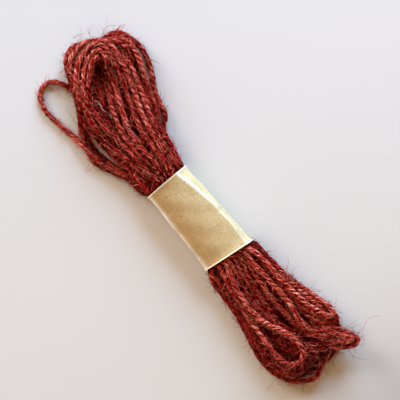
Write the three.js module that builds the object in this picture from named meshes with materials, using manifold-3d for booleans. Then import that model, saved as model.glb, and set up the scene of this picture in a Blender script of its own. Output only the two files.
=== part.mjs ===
// Skein of jute thread: one long two-ply thread wound into a hank, laid flat, and held at the
// waist by a glued paper band. Both ends open into looped lobes.
// Millimetres, +Z up. The hank lies on the plane z = 0, with the origin under the middle of the
// band and +X along the band towards the blunter end.

import * as THREE from "three";
import { mergeVertices } from "three/addons/utils/BufferGeometryUtils.js";
import Module from "manifold-3d";

// Thread
const THREAD_DIAMETER = 2;
const RIDGE_HEIGHT = 0.6; // how far each thread of a lock stands out from the one beside it
const LOCK_ROUNDNESS = 2.3; // exponent of a lock's oval section, 2 is an ellipse
const LOCK_TWIST = 0.12; // part of a turn that the threads make round their lock, end to end

// Paper band, slightly wider towards +X
const BAND_LENGTH = 35;
const BAND_WIDTH_BACK = 17.6;
const BAND_WIDTH_FRONT = 19.6;
const BAND_HEIGHT = 10.8;
const PAPER_THICKNESS = 1;
const BAND_CORNER = 3.6;
const CLEARANCE = 0.3; // between the paper and the thread inside it

// Waist of the hank, where the band holds it
const WAIST_INSET = PAPER_THICKNESS + CLEARANCE;
const WAIST_LEVEL = BAND_HEIGHT / 2;

const UP = new THREE.Vector3(0, 0, 1);

// Fineness
const LOCK_STEP = 4.4; // along a lock
const SMALL_LOCK_STEP = 2.5; // along a lock of two or three threads
const THREAD_STEP = 4; // along a single thread
const THREAD_SIDES = 8;
const CORNER_STEPS = 3;
const OVAL_STEPS = 720; // for measuring round a lock
const SAME_POINT = 1e-4;

// Space above the surface, larger than the hank
const ROOM_SPAN = 400;
const ROOM_HEIGHT = 100;
const CUT_PAST = 1; // how far the band's hollow is cut beyond its ends

// A lock is a bundle of turns that leaves the waist, goes round an end and comes back.
// Each row is a section across it: its middle, its half width in plan and its half height.
const section = (x, y, z, half_width, half_height) => ({ x, y, z, half_width, half_height });

const FRONT_LOBE_BACK_END = [
  section(-12, -3.4, 5.4, 3.2, 3.5),
  section(-18, -3.6, 5.4, 3.4, 3.6),
  section(-29, -5.6, 4.9, 4.8, 4.8),
  section(-42, -7.2, 4.7, 4.3, 4.9),
  section(-55, -3.4, 4.6, 6.4, 4.8),
  section(-66, 0.8, 4.5, 6.0, 4.7),
  section(-72.2, 8.6, 4.5, 5.1, 4.6),
  section(-67.4, 15.2, 4.9, 4.6, 4.5),
  section(-56, 9.6, 5.3, 5.0, 4.6),
  section(-42, 3.2, 5.4, 4.9, 4.6),
  section(-29, 1.6, 5.4, 4.2, 4.5),
  section(-18, 1.2, 5.4, 3.4, 3.6),
  section(-12, 1.2, 5.4, 3.2, 3.5),
];

const REAR_LOBE_BACK_END = [
  section(-12, 0.4, 5.2, 3.0, 3.3),
  section(-18, 0.2, 5.2, 3.2, 3.5),
  section(-41, -1.0, 4.2, 4.4, 4.2),
  section(-56, 6.0, 3.8, 4.6, 4.1),
  section(-66, 12.8, 3.7, 4.4, 4.0),
  section(-68.6, 19.2, 3.7, 4.3, 4.0),
  section(-62, 20.4, 3.8, 4.0, 4.1),
  section(-54, 16.8, 4.0, 4.4, 4.3),
  section(-43, 11.6, 4.3, 4.5, 4.5),
  section(-31, 7.0, 4.8, 4.4, 4.7),
  section(-18, 3.8, 5.3, 3.4, 3.6),
  section(-12, 3.8, 5.3, 3.2, 3.4),
];

const MAIN_LOBE_FRONT_END = [
  section(12, -3.8, 5.4, 3.4, 3.5),
  section(18, -4.0, 5.4, 3.7, 3.6),
  section(29, -6.2, 4.9, 5.3, 4.8),
  section(42, -7.8, 4.6, 6.4, 4.9),
  section(54, -9.8, 4.5, 7.3, 4.8),
  section(63, -7.4, 4.4, 7.0, 4.7),
  section(67, 0.6, 4.4, 5.7, 4.6),
  section(61, 7.2, 4.4, 5.4, 4.6),
  section(50, 6.8, 4.5, 5.8, 4.7),
  section(38, 4.4, 4.8, 5.2, 4.8),
  section(28, 3.4, 5.2, 4.6, 4.7),
  section(18, 2.4, 5.4, 3.7, 3.6),
  section(12, 2.4, 5.4, 3.4, 3.5),
];

const SIDE_LOBE_FRONT_END = [
  section(12, 4.6, 5.4, 3.0, 3.3),
  section(18, 4.8, 5.4, 3.2, 3.5),
  section(30, 7.0, 4.7, 4.1, 4.7),
  section(42, 9.4, 4.5, 4.2, 4.7),
  section(53, 11.6, 4.3, 4.3, 4.5),
  section(60, 11.8, 4.4, 4.0, 4.3),
  section(63.6, 8.0, 5.4, 3.6, 4.0),
  section(58, 4.2, 6.0, 3.4, 3.7),
  section(46, 3.8, 6.3, 3.4, 3.6),
  section(32, 2.6, 6.2, 3.4, 3.5),
  section(18, 1.0, 5.7, 3.2, 3.3),
  section(12, 1.0, 5.7, 3.0, 3.1),
];

// Turns that fill the middle of the blunter end
const INNER_TURNS_FRONT_END = [
  section(12, -0.6, 5.4, 3.0, 3.4),
  section(18, -0.6, 5.4, 3.2, 3.6),
  section(30, -1.2, 4.8, 3.2, 4.4),
  section(45, -1.6, 4.6, 3.6, 4.5),
  section(57, -1.2, 4.4, 3.4, 4.3),
  section(62, -0.8, 4.3, 2.4, 3.4),
];

// A few turns that part from the hank along its left edge and rejoin it at the band
const PARTED_BUNCH = [
  section(-56, -8.6, 3.4, 1.6, 1.8),
  section(-50, -11.6, 2.4, 1.6, 1.7),
  section(-42, -13.4, 2.0, 2.0, 2.2),
  section(-33, -11.7, 2.5, 2.2, 2.4),
  section(-25, -8.6, 3.8, 2.2, 2.4),
  section(-19, -5.0, 5.0, 1.6, 2.0),
];

// Short loop of two threads that sticks out beside the blunter end
const SIDE_NUB = [
  section(57, 6.6, 5.6, 1.6, 1.4),
  section(63, 11.8, 5.4, 1.7, 1.4),
  section(68.2, 14.6, 4.6, 1.7, 1.4),
  section(70.4, 13.0, 4.0, 1.5, 1.4),
  section(68.6, 9.2, 3.8, 1.7, 1.4),
  section(63, 4.6, 4.0, 1.6, 1.4),
];

// Single turns that show by themselves: the middle of the thread, point by point
const LOOSE_LOOP = [
  { x: -58, y: -2.8, z: 6.0 },
  { x: -64, y: -5.7, z: 4.6 },
  { x: -69, y: -8, z: 3.4 },
  { x: -72.2, y: -10, z: 2.6 },
  { x: -72.6, y: -12.8, z: 2.1 },
  { x: -70.8, y: -15.7, z: 1.7 },
  { x: -67, y: -17.6, z: 1.4 },
  { x: -62.5, y: -18, z: 1.3 },
  { x: -57, y: -17.6, z: 1.3 },
  { x: -50, y: -16.4, z: 1.5 },
  { x: -44, y: -15.2, z: 2.0 },
  { x: -36, y: -13, z: 2.6 },
];

const EDGE_STRAND = [
  { x: -67, y: 22.6, z: 4.6 },
  { x: -63, y: 24.4, z: 4.6 },
  { x: -56, y: 23.2, z: 4.4 },
  { x: -50, y: 20.9, z: 4.2 },
  { x: -44, y: 17.8, z: 4.2 },
  { x: -38.5, y: 16, z: 4.4 },
  { x: -33, y: 13.8, z: 4.8 },
  { x: -27, y: 9.6, z: 5.4 },
  { x: -21, y: 6, z: 5.6 },
];

const TOP_LOOP = [
  { x: 28, y: -6.6, z: 8.6 },
  { x: 34, y: -7.5, z: 9.7 },
  { x: 43.4, y: -6.4, z: 10.1 },
  { x: 52, y: -3, z: 9.9 },
  { x: 59.2, y: -1.4, z: 9.5 },
  { x: 63.2, y: -4, z: 9.4 },
  { x: 64.2, y: -8, z: 9.2 },
  { x: 59.4, y: -11.2, z: 9.3 },
  { x: 53, y: -11.6, z: 9.5 },
  { x: 42.6, y: -10.4, z: 9.6 },
  { x: 34, y: -9, z: 8.8 },
  { x: 29, y: -8, z: 7.8 },
];

const wasm = await Module();
wasm.setup();

// A closed three.js geometry as a solid that can be joined and cut
function solidOf(geometry) {
  const bare = new THREE.BufferGeometry();
  bare.setAttribute("position", geometry.getAttribute("position"));
  bare.setIndex(geometry.index);
  const merged = mergeVertices(bare, SAME_POINT);
  return new wasm.Manifold(
    new wasm.Mesh({
      numProp: 3,
      vertProperties: new Float32Array(merged.attributes.position.array),
      triVerts: new Uint32Array(merged.index.array),
    }),
  );
}

function geometryOf(solid) {
  const { vertProperties, triVerts } = solid.getMesh();
  const geometry = new THREE.BufferGeometry();
  geometry.setAttribute("position", new THREE.BufferAttribute(vertProperties, 3));
  geometry.setIndex(new THREE.BufferAttribute(triVerts, 1));
  geometry.computeVertexNormals();
  return geometry;
}

// Skin over a row of rings with the same number of points, closed at both ends by a fan
function loftGeometry(rings) {
  const count = rings[0].length;
  const points = rings.flat();
  const faces = [];
  for (let ring = 0; ring + 1 < rings.length; ring++) {
    for (let k = 0; k < count; k++) {
      const a = ring * count + k;
      const b = ring * count + ((k + 1) % count);
      faces.push(a, b, b + count, a, b + count, a + count);
    }
  }
  for (const [ring, turned] of [[0, true], [rings.length - 1, false]]) {
    const middle = new THREE.Vector3();
    rings[ring].forEach((point) => middle.addScaledVector(point, 1 / count));
    points.push(middle);
    for (let k = 0; k < count; k++) {
      const a = ring * count + k;
      const b = ring * count + ((k + 1) % count);
      faces.push(...(turned ? [b, a] : [a, b]), points.length - 1);
    }
  }
  const geometry = new THREE.BufferGeometry().setFromPoints(points);
  geometry.setIndex(faces);
  return geometry;
}

// Angles that cut an oval into steps of equal length, the first a part of a turn on
function evenAngles(halfWidth, halfHeight, count, turned) {
  const lengths = [0];
  const point = (k) => ovalPoint((k / OVAL_STEPS) * 2 * Math.PI, halfWidth, halfHeight);
  for (let k = 1; k <= OVAL_STEPS; k++) {
    lengths.push(lengths[k - 1] + point(k).distanceTo(point(k - 1)));
  }
  const angles = [];
  for (let n = 0; n < count; n++) {
    const wanted = ((n / count + turned) % 1) * lengths[OVAL_STEPS];
    const step = lengths.findIndex((length) => length >= wanted);
    angles.push((step / OVAL_STEPS) * 2 * Math.PI);
  }
  return angles;
}

function ovalPoint(angle, halfWidth, halfHeight) {
  const squared = (value) => Math.sign(value) * Math.abs(value) ** (2 / LOCK_ROUNDNESS);
  return new THREE.Vector2(halfWidth * squared(Math.cos(angle)), halfHeight * squared(Math.sin(angle)));
}

// Lock of threads: an oval section with one ridge for each thread on its outside, carried along
// the rows' middles
function lockGeometry(rows, step) {
  const route = new THREE.CatmullRomCurve3(rows.map((row) => new THREE.Vector3(row.x, row.y, row.z)));
  const sizes = new THREE.CatmullRomCurve3(
    rows.map((row) => new THREE.Vector3(row.half_width, row.half_height, 0)),
  );
  const widest = Math.max(...rows.map((row) => row.half_width));
  const tallest = Math.max(...rows.map((row) => row.half_height));
  const threads = Math.round((Math.PI * (widest + tallest)) / THREAD_DIAMETER);
  const steps = Math.round(route.getLength() / step);
  const rings = [];
  for (let n = 0; n <= steps; n++) {
    const t = route.getUtoTmapping(n / steps);
    const middle = route.getPoint(t);
    const size = sizes.getPoint(t);
    const along = route.getTangent(t);
    const side = new THREE.Vector3().crossVectors(UP, along).normalize();
    const up = new THREE.Vector3().crossVectors(along, side);
    const angles = evenAngles(widest, tallest, 2 * threads, (LOCK_TWIST * n) / steps);
    rings.push(
      angles.map((angle, k) => {
        const ridge = k % 2 ? -RIDGE_HEIGHT / 2 : RIDGE_HEIGHT / 2;
        const place = ovalPoint(angle, size.x + ridge, size.y + ridge);
        return middle.clone().addScaledVector(side, place.x).addScaledVector(up, place.y);
      }),
    );
  }
  return loftGeometry(rings);
}

// One thread along its own points
function threadGeometry(points) {
  const route = new THREE.CatmullRomCurve3(points.map(({ x, y, z }) => new THREE.Vector3(x, y, z)));
  const outline = new THREE.Shape();
  outline.absarc(0, 0, THREAD_DIAMETER / 2, 0, 2 * Math.PI, false);
  return new THREE.ExtrudeGeometry(outline, {
    curveSegments: THREAD_SIDES,
    steps: Math.round(route.getLength() / THREAD_STEP),
    extrudePath: route,
  });
}

// Round-cornered section of the band or the waist, standing across X
function bandRing(x, inset) {
  const along = (x + BAND_LENGTH / 2) / BAND_LENGTH;
  const width = THREE.MathUtils.lerp(BAND_WIDTH_BACK, BAND_WIDTH_FRONT, along);
  const halfWidth = width / 2 - inset;
  const halfHeight = BAND_HEIGHT / 2 - inset;
  const radius = BAND_CORNER - inset;
  const ring = [];
  for (const quarter of [0, 1, 2, 3]) {
    const right = quarter === 0 || quarter === 3 ? 1 : -1;
    const top = quarter < 2 ? 1 : -1;
    for (let n = 0; n <= CORNER_STEPS; n++) {
      const angle = ((quarter + n / CORNER_STEPS) * Math.PI) / 2;
      const y = right * (halfWidth - radius) + radius * Math.cos(angle);
      const z = WAIST_LEVEL + top * (halfHeight - radius) + radius * Math.sin(angle);
      ring.push(new THREE.Vector3(x, y, z));
    }
  }
  return ring;
}

const barGeometry = (ends, inset) => loftGeometry(ends.map((x) => bandRing(x, inset)));

function hankGeometry() {
  const end = BAND_LENGTH / 2;
  const locks = [
    FRONT_LOBE_BACK_END,
    REAR_LOBE_BACK_END,
    MAIN_LOBE_FRONT_END,
    SIDE_LOBE_FRONT_END,
    INNER_TURNS_FRONT_END,
  ];
  const pieces = [
    ...locks.map((rows) => lockGeometry(rows, LOCK_STEP)),
    ...[PARTED_BUNCH, SIDE_NUB].map((rows) => lockGeometry(rows, SMALL_LOCK_STEP)),
    ...[LOOSE_LOOP, EDGE_STRAND, TOP_LOOP].map((points) => threadGeometry(points)),
  ];
  let hank = solidOf(barGeometry([-end, end], WAIST_INSET));
  for (const piece of pieces) hank = hank.add(solidOf(piece));
  const room = new THREE.BoxGeometry(ROOM_SPAN, ROOM_SPAN, ROOM_HEIGHT);
  hank = hank.intersect(solidOf(room.translate(0, 0, ROOM_HEIGHT / 2)));
  const [outside] = hank.decompose().sort((a, b) => b.volume() - a.volume());
  return geometryOf(outside);
}

function bandGeometry() {
  const end = BAND_LENGTH / 2;
  const outside = solidOf(barGeometry([-end, end], 0));
  const past = end + CUT_PAST;
  const inside = solidOf(barGeometry([-past, past], PAPER_THICKNESS));
  return geometryOf(outside.subtract(inside));
}

const jute = new THREE.MeshStandardMaterial({ color: 0x9a3323, roughness: 0.9, metalness: 0 });
const paper = new THREE.MeshStandardMaterial({ color: 0xd8bf8e, roughness: 0.5, metalness: 0 });

function namedMesh(name, geometry, material) {
  const mesh = new THREE.Mesh(geometry, material);
  mesh.name = name;
  return mesh;
}

const skein = new THREE.Group();
skein.add(namedMesh("jute_hank", hankGeometry(), jute));
skein.add(namedMesh("paper_band", bandGeometry(), paper));

export default skein;
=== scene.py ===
# Skein of rust-red jute thread in a cream paper band, dressed around its imported solids.
# One long two-ply thread is laid in turns through the band, settled so that its turns lie
# beside and on each other, and then given its plies, fibres, dyed colour, painted highlights
# and painted shade.
# The sizes and tables below are in millimetres, and MM turns them into Blender's metres.

import math

import bpy
import numpy as np
from mathutils import Matrix, Vector


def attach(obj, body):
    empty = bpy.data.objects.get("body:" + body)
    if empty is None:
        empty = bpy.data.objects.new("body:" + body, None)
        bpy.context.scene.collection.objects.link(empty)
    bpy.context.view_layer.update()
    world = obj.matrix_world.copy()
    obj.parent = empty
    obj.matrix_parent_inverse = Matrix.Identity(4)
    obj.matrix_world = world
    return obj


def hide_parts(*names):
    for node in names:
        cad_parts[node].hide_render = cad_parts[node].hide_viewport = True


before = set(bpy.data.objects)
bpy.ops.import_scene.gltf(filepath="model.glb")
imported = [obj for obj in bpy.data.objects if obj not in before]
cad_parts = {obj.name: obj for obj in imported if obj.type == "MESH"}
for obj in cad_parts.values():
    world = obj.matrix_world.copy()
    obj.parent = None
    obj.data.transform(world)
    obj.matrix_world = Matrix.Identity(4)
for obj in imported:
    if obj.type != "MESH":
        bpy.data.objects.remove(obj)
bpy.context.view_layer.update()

MM = 0.001

# Thread
THREAD = 2.0
THREAD_PIECES = 4
PLY_PITCH = 5.1  # length of one full turn of the two plies
POINT_STEP = 1.5  # between the points that settle
RING_STEP = 0.5  # between the rings of the finished thread
HIDDEN_RING_STEP = 2.5  # the same inside the band
HIDDEN_DEPTH = 3.0  # how far inside the band's ends the thread is out of sight
DRIFT_STEP = 9  # about how far along the thread its drift to a side changes
DRIFT_SIZES = (0.32, 0.32, 0.2)  # in x, y and z
DRIFT_FREE = 12  # how far past the band the thread drifts in full
TWIST_WAVER = (13, 1.1)  # how the twist changes: step along the thread, and size in radians
THICK_WAVERS = ((14, 0.07), (4, 0.045))  # the same for the thickness, as a share of it
THICK_LIMITS = (-0.17, 0.14)
PULL_REACH = 11  # how far past the band its pull on the thread fades
PULLED_RADIUS = 0.43 * THREAD  # of a thread that is pulled quite round
PULLED_SHARE = 0.6  # how near to that it is at the band's ends

# Settling of the turns on each other
SETTLE_ROUNDS = 260
LOOK_ROUNDS = 6  # from one look for turns that are near each other to the next
LOOK_REACH = 1.25 * THREAD
TURN_GAP = 0.92 * THREAD  # between the middles of two turns that touch
SINK = 0.012  # in each round
KEPT_SHIFT = 0.998  # share of its shift that the thread keeps in each round

# Band
BAND_LENGTH = 35.0
BAND_WIDTHS = (17.6, 19.6)  # at the back end and at the front end
BAND_HEIGHT = 10.8
PAPER = 0.22
PAPER_OVERLAP = 8.0
FRONT_SKEW = 1.2  # how much farther the front end reaches on the side of the top fold
RIDGE_SHARES = (0.52, 0.72, 0.85, 0.86, 0.78)  # where the top fold is, from back to front
WAIST_ROWS = (7, 8, 7, 8, 7, 7)  # threads side by side in the band, lowest row first
WAIST_FILL = 0.9  # how much of the band's width the threads take
WAIST_STOPS = (0.1, 0.6, 1.0)  # how far out of the band a thread's line has points
STRIP_CELLS = (40, 150)  # of the strip of paper, along the band and round it
SHOULDER_FOLD = 2  # the two folds of the section that are made pale: the shoulder one by rubbing, the top one by rubbing and a painted highlight
TOP_FOLD = 4
TUCK_RUN = 1.6 * PAPER_OVERLAP  # over which the inner end of the strip rises above the outer one
TUCK_HEIGHT = 0.34
SLACK_WAVES = ((0.10, 0.31, 0.9, 0), (0.07, 0.63, -0.5, 1))  # size, pace along and round, start
FLARE = 0.45  # how far the ends of the band stand off the thread
FLARE_RUN = 3.0
FLAT_HEIGHT = 2.5  # below which the paper lies closer, down to the flat underside
NICK_PLACE = (2.8, 8.0, 10.4)  # a small dent beside the top fold
NICK_DEPTH = 0.5
NICK_SPREAD = 0.8

# Photograph: where the band's middle is, which way the hank points, and the size of a pixel
PHOTO_SIZE = 400
PHOTO_MIDDLE = (198.0, 218.0)
PHOTO_ALONG = (0.645, 0.764)
PIXEL = 0.365
CAMERA_HEIGHT = 620.0
SENSOR = 36.0

# Lobes of turns under the ones that show: each row is a section with x, y, z, half width
# and half height
FRONT_LOBE = [
    (-29, -4.6, 3.2, 4.6, 2.6),
    (-42, -5.2, 3.0, 4.2, 2.4),
    (-55, -2.0, 2.9, 5.4, 2.3),
    (-65, 2.0, 2.9, 5.2, 2.3),
    (-70.2, 8.8, 3.0, 3.2, 2.2),
    (-66.5, 14.4, 3.4, 3.4, 2.6),
    (-55, 8.6, 3.2, 4.8, 2.5),
    (-42, 3.0, 3.2, 4.8, 2.5),
    (-29, 1.4, 3.4, 4.4, 2.6),
]
REAR_LOBE = [
    (-29, -0.4, 3.6, 3.8, 2.6),
    (-41, -1.8, 2.8, 4.2, 2.0),
    (-55, 5.4, 2.3, 3.4, 1.4),
    (-64, 12.0, 2.4, 3.0, 1.4),
    (-68.2, 17.2, 5.0, 3.2, 2.4),
    (-64.5, 19.8, 5.6, 2.6, 3.0),
    (-55, 15.7, 4.4, 3.0, 3.2),
    (-47, 13.0, 4.5, 3.4, 3.4),
    (-38, 8.8, 4.8, 3.0, 3.6),
    (-31, 6.6, 5.2, 4.2, 4.0),
]
MAIN_LOBE = [
    (29, -5.2, 3.2, 5.0, 2.6),
    (42, -7.6, 2.9, 6.6, 2.3),
    (54, -9.6, 2.8, 7.2, 2.2),
    (63, -7.0, 2.8, 6.6, 2.2),
    (64.6, 0.6, 2.8, 4.2, 2.2),
    (61, 8.0, 2.8, 5.6, 2.2),
    (50, 7.8, 2.9, 5.6, 2.3),
    (38, 5.0, 3.0, 5.4, 2.4),
    (28, 3.2, 3.4, 4.6, 2.6),
]

# Single turns that show, point by point: pixels across and down the photograph, and z.
# The pale fibre lies on the thread, so its heights are worked out below.
LOOSE_LOOP = [
    (176, 160, 5.4), (152, 134, 4.2), (118, 108, 3.2), (92, 98, 3.0), (77, 91.6, 3.0),
    (66.4, 86.2, 2.8), (58, 82.8, 2.6), (49.8, 82.8, 2.1), (43.2, 87.4, 1.8), (41, 94.6, 1.5),
    (42.4, 103.6, 1.3), (47.2, 112.2, 1.2), (55.4, 120.2, 1.2), (65.2, 128.4, 1.3), (75.4, 136, 1.8),
    (83.4, 143, 2.6), (90.6, 150, 3.2), (98.6, 158.2, 3.2), (110, 165.6, 3.2), (122, 171.2, 3.6),
    (138, 182, 4.2),
]
LEFT_STRAND = [
    (146, 187, 3.4), (132, 176, 2.4), (119.4, 171.8, 1.4), (107.2, 166.8, 1.2), (96.6, 161, 1.2),
    (90.6, 152.4, 1.4), (86.6, 142.6, 2.4), (83, 130, 3.2), (81.2, 113, 3.8), (76.6, 93, 4.4),
    (69.8, 75, 4.8), (66.8, 60.6, 5.0), (70.6, 50.6, 5.0), (78.8, 45, 5.0), (88.6, 43.4, 5.2),
    (97, 43.6, 5.8), (106, 44.8, 6.8), (116, 48.8, 7.4), (125, 56.8, 7.8), (132.6, 67, 8.0),
    (138, 80, 8.0), (142.4, 94, 8.0), (147.4, 109, 8.0), (154, 127, 8.2), (164, 146, 8.6),
    (175, 162, 9.0),
]
PARTED_STRAND = [
    (141, 188.2, 2.2), (130, 179.4, 1.4), (115, 168.4, 1.2), (101.6, 160.4, 1.2), (92.6, 152.4, 1.2),
    (86.8, 144, 1.2), (83, 131, 1.4), (80.4, 113, 1.8), (76.6, 93, 2.2), (73.4, 76, 2.6),
    (74.2, 64, 3.2), (77.8, 55.4, 3.4), (85, 49.8, 3.6), (95, 48.5, 4.0), (106, 53, 4.8), (117, 62, 5.2),
    (127, 76, 5.4), (134, 94, 5.4), (140, 114, 5.6), (150, 134, 5.8), (166, 158, 6.4),
]
TOP_STRANDS = [
    [
        (153, 190, 7.4), (137, 172.6, 6.6), (121, 156.6, 6.0), (104, 140.6, 5.8), (89.8, 123.6, 6.4),
        (80.2, 103, 7.4), (74.4, 83, 7.4), (71, 67, 7.0), (73.6, 56.6, 6.8), (80.6, 49, 7.0),
        (89.5, 45, 7.2), (98, 44.4, 7.6), (107, 45.6, 8.2), (115.6, 51, 8.8), (122, 60, 9.0),
        (128.4, 72, 8.8), (133, 85, 8.8), (137.2, 98, 8.8), (141, 110.6, 8.8), (147, 125, 9.0),
        (157, 144, 9.2), (170, 163, 9.4),
    ],
    [
        (156, 188, 8.6), (139, 170, 8.4), (121.4, 154.4, 8.0), (106, 139.8, 8.0), (94, 122.6, 8.4),
        (84, 103, 8.8), (78, 85, 8.6), (77, 72, 8.4), (80.4, 61, 8.2), (86.8, 52.4, 8.4),
        (94, 48, 8.8), (101, 47.4, 9.2), (107.6, 50.8, 9.6), (114, 58.6, 9.4), (119.4, 68.4, 8.8),
        (123.8, 80, 8.4), (127.4, 92, 8.2), (131.4, 104, 8.2), (135.6, 114.4, 8.2), (142, 129, 8.4),
        (153, 147, 8.8), (167, 166, 9.2),
    ],
    [
        (160, 186, 9.2), (146, 168, 8.8), (131, 152, 8.6), (115, 137, 8.6), (100, 120, 9.0),
        (88, 102, 9.4), (84, 88, 9.2), (84.4, 74, 9.0), (88, 62.6, 9.2), (93.6, 54, 9.8),
        (99, 51, 10.2), (104.4, 53.8, 10.2), (109.4, 61.8, 9.6), (113.4, 72, 9.0), (116.4, 84, 8.8),
        (119.2, 96, 9.0), (121.8, 107, 9.2), (125, 118, 9.2), (131, 132, 9.2), (143, 150, 9.2),
        (158, 168, 9.4),
    ],
    [
        (163, 184, 8.2), (151, 167, 7.4), (137, 151, 7.0), (121, 134, 7.0), (104, 115, 7.6),
        (92.5, 99, 8.4), (89.6, 86, 8.6), (90.6, 72, 8.6), (94.4, 61.4, 9.0), (99, 56.4, 9.0),
        (102.8, 58.6, 7.4), (105.8, 66.4, 5.2), (108, 76, 3.6), (109, 87, 4.0), (111, 97, 6.4),
        (113.5, 109, 8.2), (118, 122, 8.8), (126, 137, 8.8), (138, 153, 8.8), (152, 170, 9.0),
    ],
    [
        (157, 187, 6.0), (141, 171, 5.2), (124, 157, 4.8), (108, 143, 4.6), (96.4, 128, 4.6),
        (87.4, 110, 5.0), (80.6, 90, 5.2), (77.6, 73, 5.2), (80.4, 60.4, 5.2), (88, 51.4, 5.4),
        (98, 49, 5.8), (107.4, 54, 6.2), (115.8, 65.4, 6.2), (121.4, 80, 6.0), (125.4, 95, 6.0),
        (133, 119, 6.2), (143, 137, 6.6), (157, 157, 7.4),
    ],
]
EDGE_STRANDS = [
    [
        (158, 172, 4.0), (138, 148, 3.0), (123, 122, 2.4), (116, 97, 2.2), (112, 72, 2.4),
        (107, 50, 3.0), (109.8, 40.8, 3.6), (117.4, 36.4, 4.0), (124, 37, 4.0), (129.8, 39.8, 4.0),
        (138, 46, 3.6),
        (144.6, 55.2, 3.0), (148.8, 65, 2.4), (151.6, 75, 2.2), (152.8, 86, 2.2), (154.8, 96, 2.4),
        (158, 104.5, 2.8), (162.4, 112, 3.2), (164, 119.4, 3.8), (161.4, 129, 4.6),
        (163.4, 142, 5.2), (172.4, 156, 6.0),
    ],
    [
        (160, 176, 5.0), (143, 152, 4.2), (128, 128, 3.8), (121, 101, 3.6), (117, 74, 3.8),
        (110, 53, 4.6), (109.2, 44, 5.8), (116.4, 40.4, 6.8), (124.8, 43.6, 7.2), (132.4, 52, 7.2),
        (138, 63, 7.0), (142, 76, 6.6), (146.6, 88, 6.2), (151.2, 98, 6.0), (154.6, 108, 6.0),
        (155.6, 118, 6.4), (157, 129, 6.6), (162.4, 144, 7.2), (173, 158, 7.8),
    ],
]
TOP_LOOP = [
    (222, 262, 9.6), (228, 273, 10.3), (236, 289, 10.6), (247.5, 307.5, 10.7), (261.5, 321.5, 10.7),
    (277, 329, 10.7), (291, 337.5, 10.6), (299.6, 346.4, 10.4), (301.4, 354.6, 10.2), (297.2, 362.4, 10.0),
    (288.8, 364.6, 9.8), (280, 360, 9.8), (270, 348.5, 9.8), (258.5, 332.5, 9.8), (246.5, 315, 9.8),
    (235, 296, 9.6), (225.5, 280, 9.2), (216, 266.5, 8.8),
]
LOOP_PARTNER = [
    (227, 259, 8.6), (236, 275, 7.8), (245.5, 291.5, 7.0), (256, 306, 6.6), (268, 316.5, 6.4),
    (280, 323.5, 6.2), (291, 329.5, 5.8), (303, 336, 4.8), (315, 343, 3.8), (321, 351, 3.0),
    (316, 358, 2.4), (303, 356, 2.2), (285, 343, 2.2), (266, 320, 2.6), (247, 288, 3.6),
    (233, 262, 4.6),
]
LEFT_EDGE_STRANDS = [
    [
        (204, 271.8, 5.6), (208.8, 285, 5.4), (218.4, 296, 5.2), (227.8, 306.8, 5.0),
        (239.4, 319.4, 4.8), (249, 335, 4.6), (256.6, 349.8, 4.6), (265.2, 362.4, 4.6),
        (277, 372, 4.6), (288.6, 378.4, 4.6), (300, 379.6, 4.4), (310.6, 376.8, 4.2),
        (314.8, 369.2, 4.0), (317.4, 360.4, 3.8), (323, 352.4, 3.6), (329, 345.6, 3.4),
        (326, 335, 3.2), (311, 322, 2.6), (290, 301, 2.6), (268, 278, 3.4), (248, 254, 4.4),
    ],
    [
        (213, 268, 7.4), (221, 281, 6.6), (229, 294, 6.2), (237.5, 309.5, 6.0), (247, 326, 6.0),
        (257.5, 343, 6.0), (268.5, 358, 6.0), (280, 368.5, 6.0), (291, 372.4, 5.8), (300.4, 370.6, 5.6),
        (306.6, 364.4, 5.2), (311.6, 358, 4.6), (317.4, 351, 4.2), (323, 344.6, 3.6),
        (322, 337, 2.8), (308, 326, 2.4), (288, 306, 2.6), (266, 282, 3.6), (245, 256, 5.0),
    ],
]
END_STRANDS = [
    [
        (236, 253, 8.4), (249, 275, 7.6), (263, 297, 6.6), (278, 317, 6.0), (292, 331.5, 6.0),
        (304, 339.5, 7.0), (315, 341.6, 7.6), (323, 342.6, 7.2), (327.6, 344.2, 5.2),
    ],
    [
        (232, 256, 8.2), (245, 279, 7.4), (258, 303, 6.2), (273, 325, 5.6), (289, 341, 5.8),
        (302, 346.6, 6.8), (310.6, 348, 7.2), (316, 348.6, 6.6), (319, 349.6, 4.8),
    ],
    [
        (229, 258, 7.8), (241, 282, 6.2), (255, 307, 5.4), (270, 331, 5.0), (286, 348, 5.4),
        (298.6, 353, 6.4), (304.6, 354, 6.8), (309.6, 354.8, 6.0), (312, 356, 4.4),
    ],
    [
        (225, 260, 7.2), (237, 286, 5.8), (251, 312, 5.0), (266, 338, 4.6), (283, 355, 5.0),
        (295.6, 359, 5.4), (301, 359.6, 5.6), (305, 360.4, 4.8), (307.4, 361.6, 3.4),
    ],
    [
        (240, 251, 8.2), (254, 273, 7.6), (268, 293, 7.0), (283, 311, 6.6), (297, 324.5, 6.6),
        (310, 333, 6.8), (321, 336.5, 6.8), (329, 338, 6.2), (332.5, 340, 4.6),
    ],
]
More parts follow.
